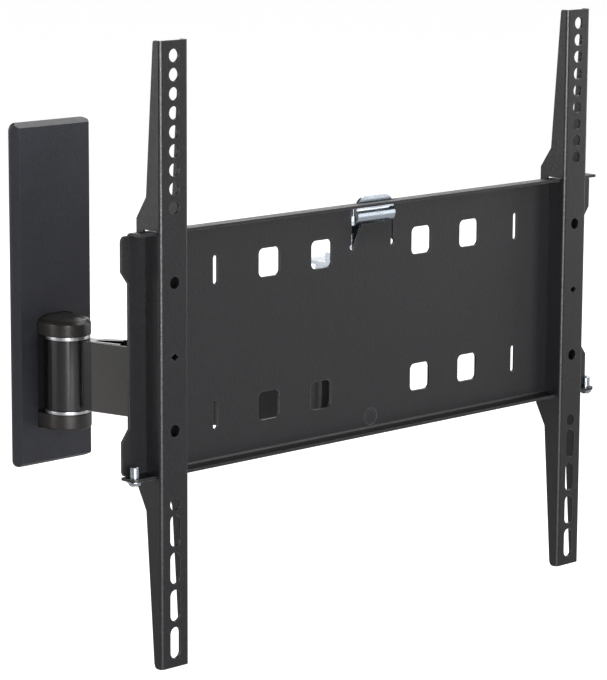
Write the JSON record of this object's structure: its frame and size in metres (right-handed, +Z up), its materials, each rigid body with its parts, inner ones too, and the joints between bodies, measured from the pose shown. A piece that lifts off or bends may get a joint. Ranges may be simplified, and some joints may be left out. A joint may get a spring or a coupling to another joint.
{
  "type": "full motion screen wall mount",
  "caption": "Full motion wall mount: covered wall plate, swivel arm on vertical hinges, tilting plate with hooked-on, sliding upright strips for a flat screen.",
  "frame": {"origin": "centre of the wall plate's back face, on the wall", "axes": "+Y into the wall, -Y towards the viewer, +Z up, +X to the viewer's right"},
  "size_m": [0.466, 0.2987, 0.4231],
  "materials": {
    "powder_black": "satin black powder coat with a fine speckle",
    "powder_grey": "satin charcoal powder coat",
    "barrel_satin": "smooth satin black, turned",
    "cover_plastic": "fine grained matte moulding",
    "cap_plastic": "fine grained matte moulding",
    "zinc": "bright zinc plate",
    "nylon": "natural nylon"
  },
  "bodies": {
    "wall": {"wall_plate": "powder_black", "wall_lugs": "powder_grey", "wall_cover": "cover_plastic", "cap_upper": "cap_plastic", "cap_lower": "cap_plastic", "ring_upper": "zinc", "ring_lower": "zinc", "wall_pin": "zinc", "wall_pin_nut": "zinc"},
    "arm": {"wall_barrel": "barrel_satin", "wall_bushes": "nylon", "arm_sheet_near": "powder_grey", "arm_sheet_far": "powder_grey", "arm_spacers": "powder_grey", "front_lugs": "powder_grey", "front_washers": "zinc", "front_pin": "zinc"},
    "head": {"front_barrel": "barrel_satin", "front_bushes": "nylon", "swivel_yoke": "powder_grey", "tilt_bolt": "zinc", "tilt_nut": "zinc", "tilt_washers": "nylon"},
    "display": {"tilt_bracket": "zinc", "hook_clip": "zinc", "hook_rivets": "zinc", "display_plate": "powder_black", "plate_rivet": "powder_black", "stop_screws": "zinc", "stop_nuts": "zinc"},
    "left_strip": {"strip_left": "powder_black"},
    "right_strip": {"strip_right": "powder_black"}
  },
  "joints": [
    {"name": "wall_swivel", "type": "hinge", "parent": "wall", "child": "arm", "pos_m": [0, -0.022, -0.0596], "axis": [0, 0, 1], "range_deg": [-76.5, 43.5]},
    {"name": "head_swivel", "type": "hinge", "parent": "arm", "child": "head", "pos_m": [0.0639, -0.23773, -0.0596], "axis": [0, 0, 1], "range_deg": [-43.5, 76.5]},
    {"name": "tilt", "type": "hinge", "parent": "head", "child": "display", "pos_m": [0.0639, -0.26773, -0.0106], "axis": [1, 0, 0], "range_deg": [-3, 15]},
    {"name": "left_strip_slide", "type": "slide", "parent": "display", "child": "left_strip", "axis": [1, 0, 0], "range_m": [-0.009, 0.14]},
    {"name": "right_strip_slide", "type": "slide", "parent": "display", "child": "right_strip", "axis": [1, 0, 0], "range_m": [-0.14, 0.009]}
  ]
}
